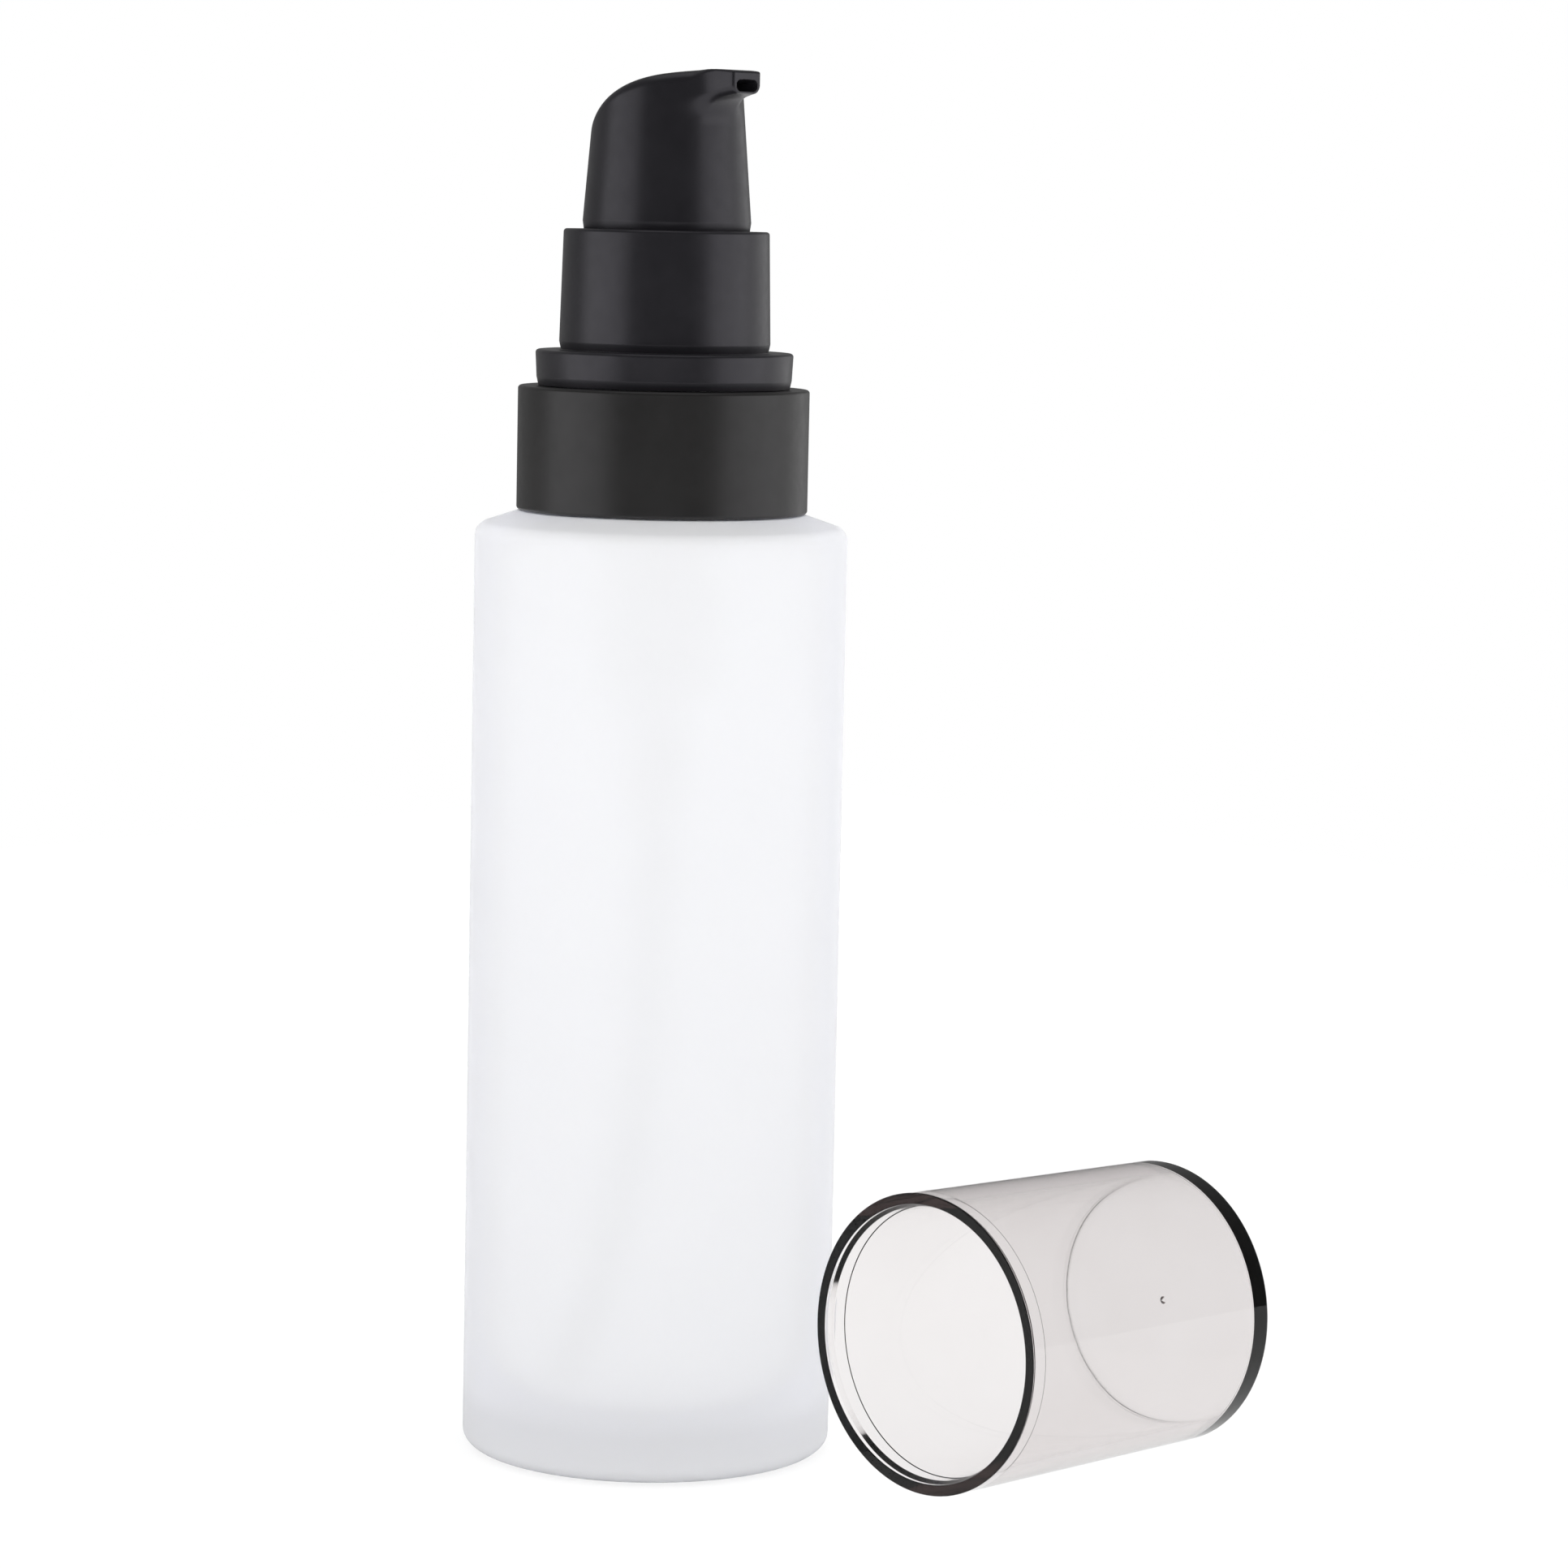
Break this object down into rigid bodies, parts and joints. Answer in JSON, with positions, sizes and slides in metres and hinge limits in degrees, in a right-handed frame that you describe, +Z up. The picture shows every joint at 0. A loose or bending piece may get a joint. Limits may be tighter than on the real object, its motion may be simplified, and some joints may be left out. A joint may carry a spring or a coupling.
{
  "type": "lotion pump bottle",
  "caption": "Slim cylindrical frosted bottle with a dark screw-on lotion pump, beaked press head and a clear smoke overcap lying beside it.",
  "frame": {"origin": "centre of the bottle's flat underside", "axes": "+Z up along the bottle's axis, +X along the spout, +Y along the lying overcap from its mouth to its closed end"},
  "size_m": [0.0714, 0.0647, 0.1485],
  "materials": {
    "frosted_glass": "frosted all over",
    "gasket_foam": "soft",
    "white_plastic": "moulded",
    "black_collar": "satin",
    "black_sleeve": "satin",
    "black_head": "satin",
    "spring_steel": "drawn",
    "tube_plastic": "smooth",
    "smoke_plastic": "clear, polished"
  },
  "bodies": {
    "bottle": {"bottle": "frosted_glass"},
    "pump": {"neck_gasket": "gasket_foam", "pump_housing": "white_plastic", "lock_ring": "white_plastic", "ball_retainer": "white_plastic", "return_spring": "spring_steel", "dip_tube": "tube_plastic"},
    "closure": {"screw_closure": "white_plastic", "outer_collar": "black_collar", "guide_sleeve": "black_sleeve"},
    "stem": {"stem": "white_plastic", "piston_rod": "white_plastic"},
    "piston": {"piston": "white_plastic"},
    "head": {"actuator": "black_head"},
    "ball": {"inlet_ball": "spring_steel"},
    "overcap": {"overcap": "smoke_plastic"}
  },
  "joints": [
    {"name": "pump_lift", "type": "slide", "parent": "bottle", "child": "pump", "axis": [0, 0, 1], "range_m": [0, 0.00476]},
    {"name": "closure_turn", "type": "hinge", "parent": "pump", "child": "closure", "pos_m": [0, 0, 0.1086], "axis": [0, 0, 1], "range_deg": [0, 540]},
    {"name": "press", "type": "slide", "parent": "pump", "child": "stem", "axis": [0, 0, -1], "range_m": [0, 0.007], "stiffness_N_per_m": 1000, "springref_m": -0.006, "deforming": ["return_spring"]},
    {"name": "piston_slip", "type": "slide", "parent": "stem", "child": "piston", "axis": [0, 0, 1], "range_m": [0, 0.001]},
    {"name": "head_turn", "type": "hinge", "parent": "stem", "child": "head", "pos_m": [0, 0, 0.135], "axis": [0, 0, 1], "continuous": true},
    {"name": "ball_lift", "type": "slide", "parent": "pump", "child": "ball", "axis": [0, 0, 1], "range_m": [0, 0.0016]},
    {"name": "overcap_lift", "type": "slide", "parent": "bottle", "child": "overcap", "axis": [0, 0, 1], "range_m": [0, 0.16]}
  ],
  "couplings": [
    {"joint": "closure_turn", "follows": "pump_lift", "rad_per_m": 1979}
  ]
}
